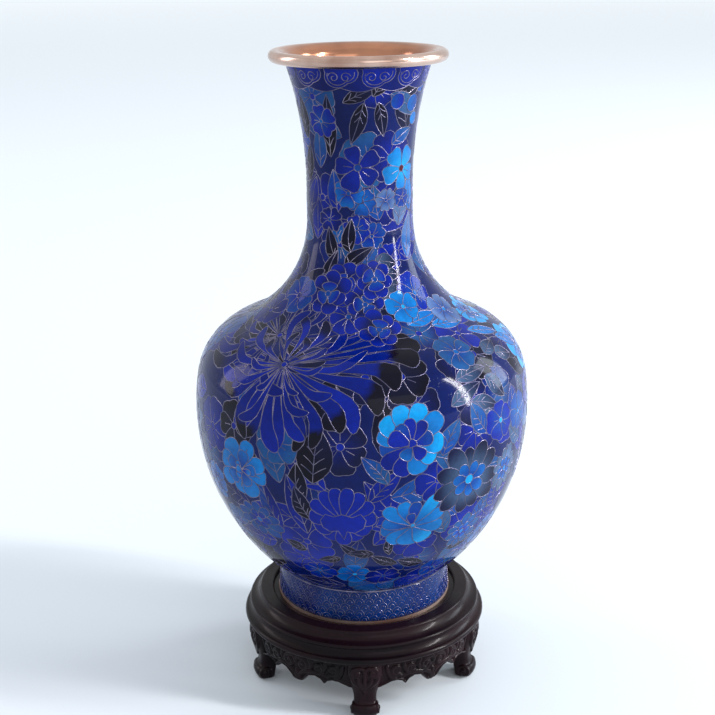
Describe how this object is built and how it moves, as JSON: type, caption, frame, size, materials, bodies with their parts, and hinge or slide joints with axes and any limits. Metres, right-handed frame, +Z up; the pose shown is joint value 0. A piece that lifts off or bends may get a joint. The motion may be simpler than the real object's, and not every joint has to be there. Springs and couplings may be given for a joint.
{
  "type": "cloisonne vase on stand",
  "caption": "Tall-necked copper vase with cloisonne enamel and a gilt mouth ring, lifting off a round carved hardwood stand on short scroll legs.",
  "frame": {"origin": "centre of the circle on the floor that the stand's feet touch", "axes": "+Z up along the vase's axis, -Y towards the viewer and through the front leg, +X to the viewer's right"},
  "size_m": [0.18, 0.18, 0.348],
  "materials": {
    "gilt": "polished gilt copper",
    "copper": "bare copper sheet, hidden between the enamel coats",
    "enamel": "polished cloisonne enamel",
    "lining": "plain fired counter-enamel",
    "rosewood": "dark polished hardwood"
  },
  "bodies": {
    "stand": {"stand_rim": "rosewood", "seat_panel": "rosewood", "apron_1": "rosewood", "apron_2": "rosewood", "apron_3": "rosewood", "apron_4": "rosewood", "apron_5": "rosewood", "leg_1": "rosewood", "leg_2": "rosewood", "leg_3": "rosewood", "leg_4": "rosewood", "leg_5": "rosewood", "leg_dowel_1": "rosewood", "leg_dowel_2": "rosewood", "leg_dowel_3": "rosewood", "leg_dowel_4": "rosewood", "leg_dowel_5": "rosewood"},
    "vase": {"mouth_ring": "gilt", "foot_band": "gilt", "foot_wire": "gilt", "mouth_wire": "gilt", "neck_shell": "copper", "shoulder_shell": "copper", "belly_shell": "copper", "foot_shell": "copper", "base_plate": "copper", "neck_enamel": "enamel", "shoulder_enamel": "enamel", "belly_enamel": "enamel", "foot_enamel": "enamel", "base_enamel": "lining", "neck_lining": "lining", "shoulder_lining": "lining", "belly_lining": "lining"}
  },
  "joints": [
    {"name": "vase_lift", "type": "slide", "parent": "stand", "child": "vase", "axis": [0, 0, 1], "range_m": [0, 0.15]}
  ]
}
